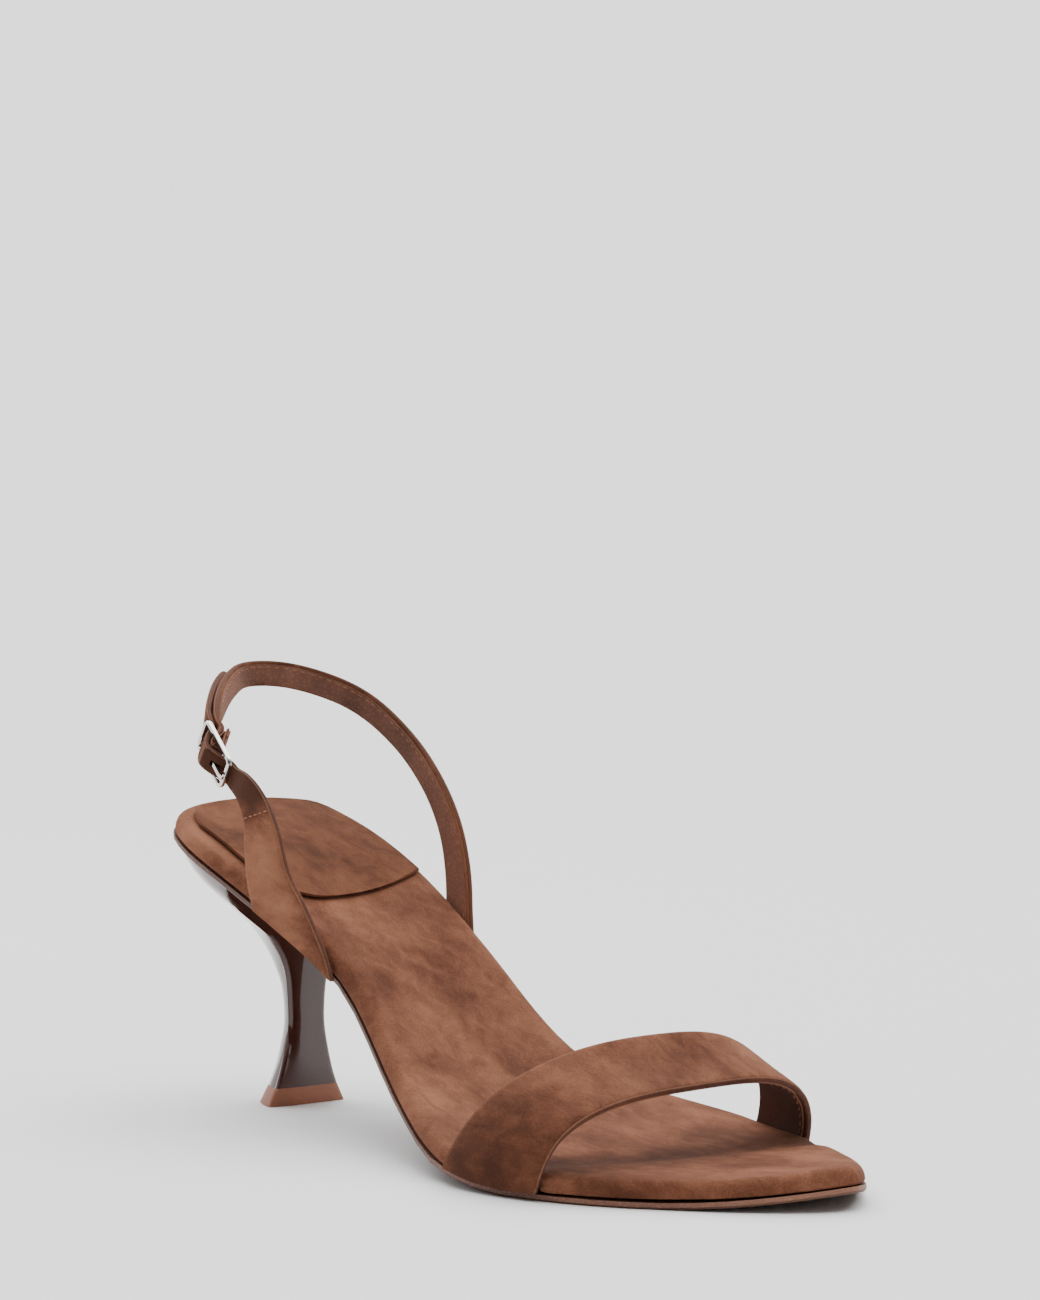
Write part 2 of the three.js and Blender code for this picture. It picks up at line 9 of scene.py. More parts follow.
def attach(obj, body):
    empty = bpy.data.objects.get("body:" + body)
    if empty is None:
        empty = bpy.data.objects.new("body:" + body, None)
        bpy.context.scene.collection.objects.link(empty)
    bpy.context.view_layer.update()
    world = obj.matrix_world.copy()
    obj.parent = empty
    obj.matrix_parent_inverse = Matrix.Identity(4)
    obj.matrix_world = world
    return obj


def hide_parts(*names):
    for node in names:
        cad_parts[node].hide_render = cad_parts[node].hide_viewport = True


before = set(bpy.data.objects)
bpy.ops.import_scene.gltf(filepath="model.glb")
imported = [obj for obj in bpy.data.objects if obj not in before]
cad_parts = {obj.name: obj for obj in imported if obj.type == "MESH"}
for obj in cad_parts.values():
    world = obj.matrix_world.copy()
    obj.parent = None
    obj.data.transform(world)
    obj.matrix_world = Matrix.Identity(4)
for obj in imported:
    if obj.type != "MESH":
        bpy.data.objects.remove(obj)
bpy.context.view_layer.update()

# The looks of a right slingback sandal: suede straps and footbed, a smooth dark lining,
# a lacquered heel and a polished buckle. Metres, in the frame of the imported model.

random.seed(7)

MM = 0.001
ANKLE_X = -0.132

# The materials of a strap, in their order
OUTSIDE_SUEDE, FOLDED_SIDE, ARRIS, BARE_LINING = range(4)

# How squarely a face looks outward to count as suede, as the arris beside it with its painted highlight,
# as part of a wide outer face and as the flat of a lining
FACING_SUEDE = 0.9
FACING_ARRIS = 0.4
FACING_OUT = 0.45
FACING_FLAT = 0.6

# Faces and edges by the upward or forward part of their direction, and the turn between
# two faces by its cosine
UNDERSIDE = -0.7
UPRIGHT_WALL = 0.5
TREAD = -0.4
RISING_EDGE = 0.7
FACING_FORWARD = 0.6
UPRIGHT_TURN = 0.8
LEVEL_TURN = 0.6

LINING_THICKNESS = 0.4 * MM
LINING_MARGIN = 0.3 * MM

# A wide outer face has no edge shorter than this
PANEL_EDGE = 0.65 * MM

# Over how many places of a rim, to each side, its turn is read to find the corners
CORNER_SPAN = 3

ARRIS_ROUND = 1.0 * MM

# The heel's breast turns back towards its outer arris: as shares of its width, how wide the
# turned part is and how far its arris goes back and inward, and how sharply it curves
BREAST_TURN = 0.42
BREAST_DEPTH = 0.065
ARRIS_INWARD = 0.02
BREAST_CURVE = 1.5

# The rings of corners that the breast is turned by: their pitch, the depth within which a
# corner lies on the breast, and the fewest corners that make a breast
RING_PITCH = 0.05 * MM
BREAST_FLAT = 0.1 * MM
BREAST_CORNERS = 5
FOOT_BEVEL = 0.25 * MM
FOOT_ANGLE = 50
SLIVER = 0.02 * MM

# The floor reaches far behind the sandal and ends on the camera's side, where the room is dark
FLOOR_RADIUS = 4.0
FLOOR_FRONT = 0.42
DARK_SIDE = (0.77, -0.64, 0)

STITCH_LENGTH = 1.7 * MM
STITCH_WIDTH = 0.36 * MM
STITCH_PITCH = 2.3 * MM
STITCH_INSET = 0.7 * MM
STITCH_SKEW = 3

# The gusset's seam, from its back end to its front end, and the holes in the tail
SEAM_BACK = (-0.1226, -0.0285, 0.0722)
SEAM_FRONT = (-0.1124, -0.0285, 0.0748)
SEAM_STITCHES = 5
SEAM_PROUD = 0.05 * MM
TAIL_HOLES = (-2.45, -2.62)
TAIL_HEIGHT = 0.0975
TAIL_RISE = 0.012
HOLE_RADIUS = 0.6 * MM
HOLE_DEPTH = 2.4 * MM

# From this far out a ray finds the outer face of a strap
OUTSIDE = 0.09

NAP_HEIGHT = 0.25 * MM
GRAIN_HEIGHT = 0.1 * MM

# The padding is pressed only this near to the middle line of the sandal
FOOTBED_REACH = 0.036

# Soft troughs and low ridges in the padding: both ends, depth and reach
FOOTBED_TROUGHS = [
    ((-0.012, -0.034, 0.006), (0.006, 0.034, 0.006), 0.8 * MM, 4.5 * MM),
    ((0.018, -0.018, 0.006), (0.022, 0.016, 0.006), -0.45 * MM, 9 * MM),
    ((-0.05, -0.02, 0.01), (-0.045, 0.024, 0.01), 0.25 * MM, 6 * MM),
    ((-0.1395, -0.0232, 0.063), (-0.1505, -0.0215, 0.0665), 0.15 * MM, 2.2 * MM),
]

# Where the surface is painted darker or lighter: the nap's own patches, and painted shade and light
# where said below; both ends, reach and change of tone
FOOTBED_MARKS = [
    # The first two marks are painted shadow of the toe strap: a darker band along the trough under its
    # front edge and by its medial foot.
    ((-0.014, -0.036, 0.006), (0.005, 0.034, 0.006), 4.5 * MM, -0.34),
    ((-0.016, 0.02, 0.006), (0.004, 0.036, 0.006), 6 * MM, -0.2),
    ((-0.105, -0.006, 0.053), (-0.096, 0.012, 0.048), 7 * MM, 0.22),
    ((-0.085, -0.012, 0.04), (-0.083, 0.016, 0.038), 4 * MM, -0.16),
    ((-0.075, -0.01, 0.033), (-0.066, 0.008, 0.026), 6 * MM, 0.12),
    ((0.01, -0.03, 0.006), (0.036, -0.004, 0.008), 9 * MM, -0.12),
    ((0.02, -0.012, 0.006), (0.032, 0.008, 0.008), 4 * MM, 0.12),
    # Painted light: a lighter patch that lifts the cast shadow of the strap and buckle on the padding
    # beside the sock.
    ((-0.136, -0.024, 0.062), (-0.152, -0.024, 0.066), 5 * MM, 0.3),
    ((-0.058, 0.004, 0.018), (-0.05, 0.03, 0.012), 6 * MM, -0.14),
]
TOE_STRAP_MARKS = [
    # The first two marks are partly the suede's own tone and partly painted light: shade painted on the
    # lower lateral side and a painted highlight near the top.
    ((-0.018, -0.045, 0.006), (0.004, -0.044, 0.012), 15 * MM, -0.3),
    ((-0.008, -0.042, 0.03), (-0.002, -0.036, 0.033), 5 * MM, 0.12),
    ((-0.006, -0.012, 0.034), (0.006, -0.004, 0.036), 6 * MM, -0.16),
    ((0.004, 0.012, 0.034), (0.01, 0.022, 0.03), 7 * MM, 0.14),
]
PUNCHED_STRAP_MARKS = [
    ((-0.12, -0.029, 0.079), (-0.138, -0.029, 0.088), 7 * MM, -0.5),
    ((-0.115, -0.029, 0.062), (-0.108, -0.028, 0.05), 8 * MM, 0.4),
    ((-0.1, -0.026, 0.04), (-0.104, -0.026, 0.05), 4 * MM, -0.14),
]
# Painted sheen: lightens the lower front of the sling strap and of its lining, which copies these tones.
SLING_PAINTED_SHEEN = [
    ((-0.098, 0.03, 0.045), (-0.106, 0.033, 0.07), 18 * MM, 0.5),
]
# Painted shade: the sole's edge and tread darker along the arch and heel, lighter only at the forepart.
SOLE_EDGE_PAINTED_SHADE = [
    ((-0.17, 0, 0.065), (-0.05, 0, 0.012), 45 * MM, -0.8),
]
SOCK_MARKS = [
    ((-0.15, -0.008, 0.071), (-0.13, 0.004, 0.066), 4 * MM, -0.16),
    ((-0.128, 0.01, 0.064), (-0.12, 0.02, 0.061), 5 * MM, 0.12),
]

# Colours as seen in daylight, as red, green and blue of 255
SUEDE_DARK = (68, 39, 28)
SUEDE_MIDDLE = (107, 64, 45)
SUEDE_LIGHT = (151, 101, 76)
SOCK_DARK = (62, 34, 21)
SOCK_MIDDLE = (98, 57, 37)
SOCK_LIGHT = (134, 85, 60)
LINING = (114, 77, 62)
# The lining leather painted darker for the toe strap: painted shade inside the strap.
SHADED_TOE_LINING = (88, 61, 51)
# Painted highlight: the light line along strap arrises and lining edges.
ARRIS_HIGHLIGHT = (130, 86, 63)
FOLDED_EDGE = (88, 52, 37)
THREAD = (158, 98, 66)
SOLE_EDGE = (158, 110, 88)
SOLE_EDGE_DARK = (84, 53, 41)
SOLE_TREAD = (96, 64, 48)
LACQUER = (64, 31, 24)
LIFT = (158, 102, 78)
STEEL = (222, 220, 216)
SHEEN = (196, 150, 122)

# Studio and camera
AIR_STRENGTH = 0.4
PAPER_STRENGTH = 2.34
SILK_STRENGTH = 5.6
SILK_SPREAD = 90
SILK_FROM = (-0.25, 0.35, 1)
CAMERA_PLACE = (0.5662, -0.5132, 0.1399)
CAMERA_AHEAD = (-0.7708, 0.6362, -0.0330)
CAMERA_LENS = 122.98


def linear(colour):
    """A colour of 255 as the linear values a shader takes."""
    def channel(c):
        return c / 255 / 12.92 if c < 11 else ((c / 255 + 0.055) / 1.055) ** 2.4
    return tuple(channel(c) for c in colour) + (1,)


# Working on one piece

def work_on(piece):
    if bpy.context.mode != "OBJECT":
        bpy.ops.object.mode_set(mode="OBJECT")
    bpy.ops.object.select_all(action="DESELECT")
    piece.select_set(True)
    bpy.context.view_layer.objects.active = piece


def edit(piece, select="ALL"):
    """Enters edit mode with everything or nothing of the piece selected."""
    work_on(piece)
    bpy.ops.object.mode_set(mode="EDIT")
    bpy.ops.mesh.select_mode(type="FACE")
    bpy.ops.mesh.select_all(action="SELECT" if select == "ALL" else "DESELECT")


def done():
    bpy.ops.object.mode_set(mode="OBJECT")


def select_faces(piece, wanted):
    """Selects the faces that a rule picks by their middle and normal."""
    edit(piece, select="NONE")
    done()
    for face in piece.data.polygons:
        face.select = wanted(face.center, face.normal)
    bpy.ops.object.mode_set(mode="EDIT")


def apply_modifier(piece, kind, **settings):
    work_on(piece)
    modifier = piece.modifiers.new(kind.lower(), kind)
    for key, value in settings.items():
        setattr(modifier, key, value)
    bpy.ops.object.modifier_apply(modifier=modifier.name)


def smooth(piece):
    apply_modifier(piece, "SUBSURF", levels=1, render_levels=1)


def shade(piece, degrees=50):
    work_on(piece)
    bpy.ops.object.shade_smooth_by_angle(angle=math.radians(degrees))


def select_edges(piece, wanted):
    """Selects the edges that a rule picks by the normals of both faces and the direction."""
    edit(piece, select="NONE")
    bpy.ops.mesh.select_mode(type="EDGE")
    done()
    normals = {}
    for face in piece.data.polygons:
        for key in face.edge_keys:
            normals.setdefault(key, []).append(face.normal)
    corners = piece.data.vertices
    for line in piece.data.edges:
        beside = normals.get(line.key, [])
        run = (corners[line.vertices[1]].co - corners[line.vertices[0]].co).normalized()
        line.select = len(beside) == 2 and wanted(beside[0], beside[1], run)
    bpy.ops.object.mode_set(mode="EDIT")


def skin_of(node, name):
    """A copy of a solid's skin, merged and turned back into quads."""
    piece = bpy.data.objects.new(name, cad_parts[node].data.copy())
    bpy.context.scene.collection.objects.link(piece)
    piece.data.materials.clear()
    edit(piece)
    bpy.ops.mesh.remove_doubles(threshold=1e-6)
    bpy.ops.mesh.tris_convert_to_quads(
        face_threshold=math.radians(35), shape_threshold=math.radians(60)
    )
    done()
    work_on(piece)
    if piece.data.has_custom_normals:
        bpy.ops.mesh.customdata_custom_splitnormals_clear()
    return piece


def finish_piece(piece, slot, materials, *nodes):
    for made in materials:
        piece.data.materials.append(made)
    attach(piece, "root")
    if nodes:
        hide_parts(*nodes)
    return piece


def colour_faces(piece, rule):
    """Gives each face the number of its material by a rule of its middle and normal."""
    for face in piece.data.polygons:
        face.material_index = rule(face.center, face.normal)


def paint_tone_and_shading(piece, marks):
    """Writes how much darker or lighter the surface is painted at each place: the nap's own tone, and
    painted shade and light.
    """
    lines = [(Vector(start), Vector(end), reach, change) for start, end, reach, change in marks]
    tones = []
    for vertex in piece.data.vertices:
        tone = 0
        for start, end, reach, change in lines:
            run = end - start
            share = max(0, min(1, (vertex.co - start).dot(run) / run.length_squared))
            away = (vertex.co - start - run * share).length
            tone += change * math.exp(-((away / reach) ** 2))
        tones.append(tone)
    piece.data.attributes.new("tone_and_painted_shading", "FLOAT", "POINT").data.foreach_set("value", tones)


# Node groups shared by the materials

def new_group(name, inputs, outputs):
    group = bpy.data.node_groups.new(name, "ShaderNodeTree")
    for label, kind, value in inputs:
        socket = group.interface.new_socket(label, in_out="INPUT", socket_type=kind)
        socket.default_value = value
    for label, kind in outputs:
        group.interface.new_socket(label, in_out="OUTPUT", socket_type=kind)
    return group, group.nodes.new("NodeGroupInput"), group.nodes.new("NodeGroupOutput")


def noise(tree, vector, scale, detail, roughness=0.55, distortion=0.0):
    node = tree.nodes.new("ShaderNodeTexNoise")
    node.inputs["Detail"].default_value = detail
    node.inputs["Roughness"].default_value = roughness
    node.inputs["Distortion"].default_value = distortion
    tree.links.new(vector, node.inputs["Vector"])
    tree.links.new(scale, node.inputs["Scale"])
    return node.outputs["Fac"]


def math_node(tree, operation, first, second):
    node = tree.nodes.new("ShaderNodeMath")
    node.operation = operation
    for socket, value in zip(node.inputs, (first, second)):
        if isinstance(value, (int, float)):
            socket.default_value = value
        else:
            tree.links.new(value, socket)
    return node.outputs[0]


def weigh(tree, *shares):
    """Adds values up, each times its own weight."""
    total = None
    for value, weight in shares:
        part = math_node(tree, "MULTIPLY", value, weight)
        total = part if total is None else math_node(tree, "ADD", total, part)
    return total


def remap(tree, value, old, new=(0.0, 1.0)):
    """Carries a value from one range to another, and no further than its ends."""
    node = tree.nodes.new("ShaderNodeMapRange")
    node.inputs["From Min"].default_value, node.inputs["From Max"].default_value = old
    node.inputs["To Min"].default_value, node.inputs["To Max"].default_value = new
    tree.links.new(value, node.inputs["Value"])
    return node.outputs["Result"]


def make_brushed_nap():
    """Tone and height of suede that was brushed by hand: patches, strokes and fibres."""
    group, source, result = new_group(
        "brushed_nap",
        [
            ("Patch Scale", "NodeSocketFloat", 60.0),
            ("Stroke Scale", "NodeSocketFloat", 240.0),
            ("Fibre Scale", "NodeSocketFloat", 2600.0),
            ("Stroke Stretch", "NodeSocketVector", (0.6, 1.0, 1.0)),
        ],
        [("Tone", "NodeSocketFloat"), ("Height", "NodeSocketFloat")],
    )
    place = group.nodes.new("ShaderNodeTexCoord").outputs["Object"]
    stretch = group.nodes.new("ShaderNodeVectorMath")
    stretch.operation = "MULTIPLY"
    group.links.new(place, stretch.inputs[0])
    group.links.new(source.outputs["Stroke Stretch"], stretch.inputs[1])
    brushed = stretch.outputs[0]
    scales = source.outputs
    patch = noise(group, brushed, scales["Patch Scale"], detail=3.0, roughness=0.6, distortion=0.5)
    stroke = noise(group, brushed, scales["Stroke Scale"], detail=4.0, roughness=0.65, distortion=0.9)
    fibre = noise(group, place, scales["Fibre Scale"], detail=2.0, roughness=0.6)
    patch = remap(group, patch, (0.3, 0.7))
    stroke = remap(group, stroke, (0.25, 0.75))
    fibre = remap(group, fibre, (0.25, 0.75))
    tone = weigh(group, (patch, 0.46), (stroke, 0.32), (fibre, 0.22))
    height = weigh(group, (stroke, 0.35), (fibre, 0.65))
    group.links.new(tone, result.inputs["Tone"])
    group.links.new(height, result.inputs["Height"])
    return group


def make_fine_grain():
    """Tone and height of a smooth leather, rubber or lacquer at its own scale."""
    group, source, result = new_group(
        "fine_grain",
        [("Grain Scale", "NodeSocketFloat", 900.0), ("Cloud Scale", "NodeSocketFloat", 70.0)],
        [("Tone", "NodeSocketFloat"), ("Height", "NodeSocketFloat")],
    )
    place = group.nodes.new("ShaderNodeTexCoord").outputs["Object"]
    cells = group.nodes.new("ShaderNodeTexVoronoi")
    cells.feature = "DISTANCE_TO_EDGE"
    group.links.new(place, cells.inputs["Vector"])
    group.links.new(source.outputs["Grain Scale"], cells.inputs["Scale"])
    creased = remap(group, cells.outputs["Distance"], (0.0, 0.25))
    cloud = remap(group, noise(group, place, source.outputs["Cloud Scale"], detail=3.0), (0.3, 0.7))
    tone = weigh(group, (cloud, 0.7), (creased, 0.3))
    group.links.new(tone, result.inputs["Tone"])
    group.links.new(creased, result.inputs["Height"])
    return group


brushed_nap = make_brushed_nap()
fine_grain = make_fine_grain()


def new_material(name):
    made = bpy.data.materials.new(name)
    made.use_nodes = True
    tree = made.node_tree
    return made, tree, tree.nodes["Principled BSDF"]


def place_group(tree, group, **values):
    node = tree.nodes.new("ShaderNodeGroup")
    node.node_tree = group
    for label, value in values.items():
        node.inputs[label.replace("_", " ")].default_value = value
    return node


def ramp(tree, value, stops):
    node = tree.nodes.new("ShaderNodeValToRGB")
    node.color_ramp.interpolation = "B_SPLINE"
    while len(node.color_ramp.elements) < len(stops):
        node.color_ramp.elements.new(0.5)
    for element, (at, colour) in zip(node.color_ramp.elements, stops):
        element.position = at
        element.color = linear(colour)
    tree.links.new(value, node.inputs["Fac"])
    return node.outputs["Color"]


def bump(tree, shader, height, strength, distance):
    node = tree.nodes.new("ShaderNodeBump")
    node.inputs["Strength"].default_value = strength
    node.inputs["Distance"].default_value = distance
    tree.links.new(height, node.inputs["Height"])
    tree.links.new(node.outputs["Normal"], shader.inputs["Normal"])


def add_tone_and_shading(tree, tone):
    """Adds the tone painted on a piece: the nap's own tone, and painted shade and light."""
    marks = tree.nodes.new("ShaderNodeAttribute")
    marks.attribute_name = "tone_and_painted_shading"
    return math_node(tree, "ADD", tone, marks.outputs["Fac"])


def make_suede(name, dark, middle, light, **nap):
    made, tree, shader = new_material(name)
    brushed = place_group(tree, brushed_nap, **nap)
    tone = add_tone_and_shading(tree, brushed.outputs["Tone"])
    colour = ramp(tree, tone, [(0.12, dark), (0.48, middle), (0.88, light)])
    tree.links.new(colour, shader.inputs["Base Color"])
    shader.inputs["Roughness"].default_value = 0.95
    shader.inputs["Specular IOR Level"].default_value = 0.15
    shader.inputs["Sheen Weight"].default_value = 0.12
    shader.inputs["Sheen Roughness"].default_value = 0.45
    shader.inputs["Sheen Tint"].default_value = linear(SHEEN)
    bump(tree, shader, brushed.outputs["Height"], 0.5, NAP_HEIGHT)
    return made


def make_smooth(name, dark, light, roughness, bump_strength=0.3, coat=0.0, coat_roughness=0.05, **grain):
    made, tree, shader = new_material(name)
    grained = place_group(tree, fine_grain, **grain)
    colour = ramp(tree, add_tone_and_shading(tree, grained.outputs["Tone"]), [(0.1, dark), (0.9, light)])
    tree.links.new(colour, shader.inputs["Base Color"])
    shader.inputs["Roughness"].default_value = roughness
    shader.inputs["Specular IOR Level"].default_value = 0.15 if coat else 0.4
    shader.inputs["Coat Weight"].default_value = coat
    shader.inputs["Coat Roughness"].default_value = coat_roughness
    if bump_strength:
        bump(tree, shader, grained.outputs["Height"], bump_strength, GRAIN_HEIGHT)
    return made


def tinted(colour, share):
    return tuple(min(255, c * share) for c in colour)


strap_suede = make_suede("strap_suede", SUEDE_DARK, SUEDE_MIDDLE, SUEDE_LIGHT)
footbed_suede = make_suede("footbed_suede", SUEDE_DARK, SUEDE_MIDDLE, SUEDE_LIGHT, Patch_Scale=48.0)
sock_suede = make_suede("sock_suede", SOCK_DARK, SOCK_MIDDLE, SOCK_LIGHT, Patch_Scale=70.0)
lining_leather = make_smooth(
    "lining_leather", tinted(LINING, 0.75), tinted(LINING, 1.25), roughness=0.85, bump_strength=0.12
)
# Painted shade: the toe strap's lining is the lining leather made darker.
toe_lining_painted_shade = make_smooth(
    "toe_lining_painted_shade", tinted(SHADED_TOE_LINING, 0.8), tinted(SHADED_TOE_LINING, 1.15), roughness=0.85,
    bump_strength=0.12,
)
# Painted highlight where a strap's outer face turns over, and on the lining's edges.
painted_arris_highlight = make_smooth("painted_arris_highlight", tinted(ARRIS_HIGHLIGHT, 0.8), tinted(ARRIS_HIGHLIGHT, 1.1), roughness=0.85)
folded_edge = make_smooth(
    "folded_edge", tinted(FOLDED_EDGE, 0.8), tinted(FOLDED_EDGE, 1.2), roughness=0.9
)
waxed_thread = make_smooth(
    "waxed_thread", tinted(THREAD, 0.8), tinted(THREAD, 1.1), roughness=0.6, Grain_Scale=4000.0
)
sole_edge = make_smooth("sole_edge", SOLE_EDGE_DARK, SOLE_EDGE, roughness=0.5, Cloud_Scale=30.0)
sole_tread = make_smooth("sole_tread", tinted(SOLE_TREAD, 0.8), tinted(SOLE_TREAD, 1.1), roughness=0.6)
heel_lacquer = make_smooth(
    "heel_lacquer", tinted(LACQUER, 0.9), tinted(LACQUER, 1.15), roughness=0.25, bump_strength=0.0,
    coat=1.0, coat_roughness=0.03, Cloud_Scale=25.0,
)
lift_rubber = make_smooth(
    "lift_rubber", tinted(LIFT, 0.85), tinted(LIFT, 1.1), roughness=0.5, Grain_Scale=2500.0
)


def make_steel():
    made, tree, shader = new_material("polished_steel")
    grained = place_group(tree, fine_grain, Cloud_Scale=400.0)
    tree.links.new(
        ramp(tree, grained.outputs["Tone"], [(0.1, tinted(STEEL, 0.93)), (0.9, STEEL)]),
        shader.inputs["Base Color"],
    )
    roughness = remap(tree, grained.outputs["Tone"], (0.0, 1.0), (0.08, 0.2))
    tree.links.new(roughness, shader.inputs["Roughness"])
    shader.inputs["Metallic"].default_value = 1.0
    return made


polished_steel = make_steel()


# Which way the foot lies from a place on a strap

def towards_ankle(place):
    return Vector((max(ANKLE_X - place.x, 0), -place.y, 0)).normalized()


def towards_toes(place):
    return Vector((0, -place.y, 0.006 - place.z)).normalized()


def outer_panel(piece, inwards):
    """Looks up the normal of a strap's nearest wide outer face."""
    corners = piece.data.vertices

    def shortest(face):
        return min((corners[a].co - corners[b].co).length for a, b in face.edge_keys)

    wide = [
        (face.center.copy(), face.normal.copy())
        for face in piece.data.polygons
        if face.normal.dot(inwards(face.center)) < -FACING_OUT and shortest(face) > PANEL_EDGE
    ]
    tree = KDTree(len(wide))
    for k, (middle, _) in enumerate(wide):
        tree.insert(middle, k)
    tree.balance()
    return lambda place: wide[tree.find(place)[1]][1]


def strap_rule(panel, inside):
    """Suede outside, a painted highlight on the arris, a dark folded edge, and the inside's own finish.
    """
    def rule(place, normal):
        facing = normal.dot(panel(place))
        if facing > FACING_SUEDE:
            return OUTSIDE_SUEDE
        if facing > FACING_ARRIS:
            return ARRIS
        return FOLDED_SIDE if facing > -FACING_SUEDE else inside
    return rule


def is_foot_edge(first, second, run):
    """An edge round the end where a strap stands on the sole."""
    low, high = sorted((first.z, second.z))
    return low < UNDERSIDE and abs(high) < UPRIGHT_WALL


def build_strap(node, name, inwards, marks, inside):
    """A strap that is smoothed except round its foot, with a material for each side."""
    piece = skin_of(node, name)
    select_edges(piece, is_foot_edge)
    bpy.ops.transform.edge_crease(value=1)
    done()
    smooth(piece)
    colour_faces(piece, strap_rule(outer_panel(piece, inwards), inside))
    paint_tone_and_shading(piece, marks)
    shade(piece)
    return finish_piece(piece, "suede", [strap_suede, folded_edge, painted_arris_highlight, lining_leather], node)


# Linings: a thin sheet glued inside the toe strap and the sling strap, a little narrower than the strap

def build_lining(strap, name, inwards, leather, turned_down=False):
    """Lines a strap, with a band of its suede turned over along the upper edge or not."""
    piece = bpy.data.objects.new(name, strap.data.copy())
    bpy.context.scene.collection.objects.link(piece)
    piece.data.materials.clear()
    panel = outer_panel(strap, inwards)
    colour_faces(piece, lambda place, normal: 0)
    select_faces(piece, lambda place, normal: normal.dot(panel(place)) > -FACING_SUEDE)
    bpy.ops.mesh.delete(type="FACE")
    done()
    if turned_down:
        upper = max(long_sides(rim_of(piece)), key=middle_height)
        edge = KDTree(len(upper))
        for k, place in enumerate(upper):
            edge.insert(place, k)
        edge.balance()
        select_touching(piece, lambda place: edge.find(place)[2] < 0.01 * MM)
        bpy.ops.mesh.delete(type="FACE")
        done()
    edit(piece)
    bpy.ops.mesh.inset(thickness=LINING_MARGIN, use_boundary=True)
    bpy.ops.mesh.select_all(action="INVERT")
    bpy.ops.mesh.delete(type="FACE")
    done()
    sides = long_sides(rim_of(piece))
    apply_modifier(piece, "SOLIDIFY", thickness=LINING_THICKNESS, offset=1.0)
    # The lining's edge faces take the painted arris highlight.
    colour_faces(piece, lambda place, normal: 0 if abs(normal.dot(panel(place))) > FACING_FLAT else 1)
    shade(piece)
    finish_piece(piece, "suede", [leather, painted_arris_highlight])
    return sides


def middle_height(line):
    return sum(place.z for place in line) / len(line)


def select_touching(piece, wanted):
    """Selects the faces that have a corner a rule picks."""
    edit(piece, select="NONE")
    done()
    picked = [wanted(vertex.co) for vertex in piece.data.vertices]
    for face in piece.data.polygons:
        face.select = any(picked[k] for k in face.vertices)
    bpy.ops.object.mode_set(mode="EDIT")


def rim_of(piece):
    """The longest open edge of a sheet as a closed row of places."""
    uses = {}
    for face in piece.data.polygons:
        for key in face.edge_keys:
            uses[key] = uses.get(key, 0) + 1
    beside = {}
    for first, second in (key for key, count in uses.items() if count == 1):
        beside.setdefault(first, []).append(second)
        beside.setdefault(second, []).append(first)
    rims = []
    while beside:
        walk = [next(iter(beside))]
        while True:
            onward = [k for k in beside.pop(walk[-1], []) if k in beside]
            if not onward:
                break
            walk.append(onward[0])
        rims.append(walk)
    return [piece.data.vertices[k].co.copy() for k in max(rims, key=len)]


def long_sides(rim):
    """Splits a strap's rim at its four corners and returns its two long sides."""
    count = len(rim)

    def turn(k):
        back = (rim[k] - rim[(k - CORNER_SPAN) % count]).normalized()
        ahead = (rim[(k + CORNER_SPAN) % count] - rim[k]).normalized()
        return back.dot(ahead)

    corners = []
    for k in sorted(range(count), key=turn):
        if all(min((k - c) % count, (c - k) % count) > CORNER_SPAN + 1 for c in corners):
            corners.append(k)
        if len(corners) == 4:
            break
    corners.sort()
    runs = []
    for k, start in enumerate(corners):
        end = corners[(k + 1) % 4]
        runs.append([rim[(start + j) % count] for j in range((end - start) % count + 1)])
    return sorted(runs, key=length_of)[-2:]


def length_of(line):
    return sum((b - a).length for a, b in zip(line, line[1:]))


def at_distance(line, distance):
    """The place and direction at a distance along a line."""
    for a, b in zip(line, line[1:]):
        step = (b - a).length
        if distance <= step and step > 0:
            return a.lerp(b, distance / step), (b - a).normalized()
        distance -= step
    return line[-1].copy(), (line[-1] - line[-2]).normalized()


# Stitching: one thread end is modelled and copied along a line

def sew(name, places):
    """Sews a row of stitches, each given as its place, its direction and the way out."""
    bpy.ops.object.select_all(action="DESELECT")
    bpy.ops.mesh.primitive_uv_sphere_add(segments=8, ring_count=5, radius=STITCH_LENGTH / 2)
    first = bpy.context.object
    edit(first)
    bpy.ops.transform.resize(value=(1, STITCH_WIDTH / STITCH_LENGTH, STITCH_WIDTH / STITCH_LENGTH))
    done()
    copies = []
    for place, along, out in places:
        stitch = bpy.data.objects.new(name, first.data.copy())
        bpy.context.scene.collection.objects.link(stitch)
        beside = out.cross(along).normalized()
        skew = Matrix.Rotation(math.radians(random.uniform(-STITCH_SKEW, STITCH_SKEW)), 4, "Z")
        turned = Matrix((along, beside, along.cross(beside))).transposed().to_4x4() @ skew
        stitch.data.transform(Matrix.Translation(place) @ turned)
        copies.append(stitch)
    bpy.data.objects.remove(first)
    work_on(copies[0])
    for stitch in copies:
        stitch.select_set(True)
    bpy.ops.object.join()
    row = bpy.context.object
    row.name = name
    shade(row, 80)
    return finish_piece(row, "suede", [waxed_thread])


def stitch_side(name, line, other, inwards):
    """A row of stitches just inside the edge of a lining."""
    places = []
    count = int(length_of(line) / STITCH_PITCH)
    for k in range(2, count - 1):
        place, along = at_distance(line, k * STITCH_PITCH)
        nearest = min(other, key=lambda far: (far - place).length)
        out = inwards(place)
        inside = (nearest - place).normalized()
        along = (along - out * along.dot(out)).normalized()
        places.append((place + inside * STITCH_INSET + out * LINING_THICKNESS, along, out))
    return sew(name, places)


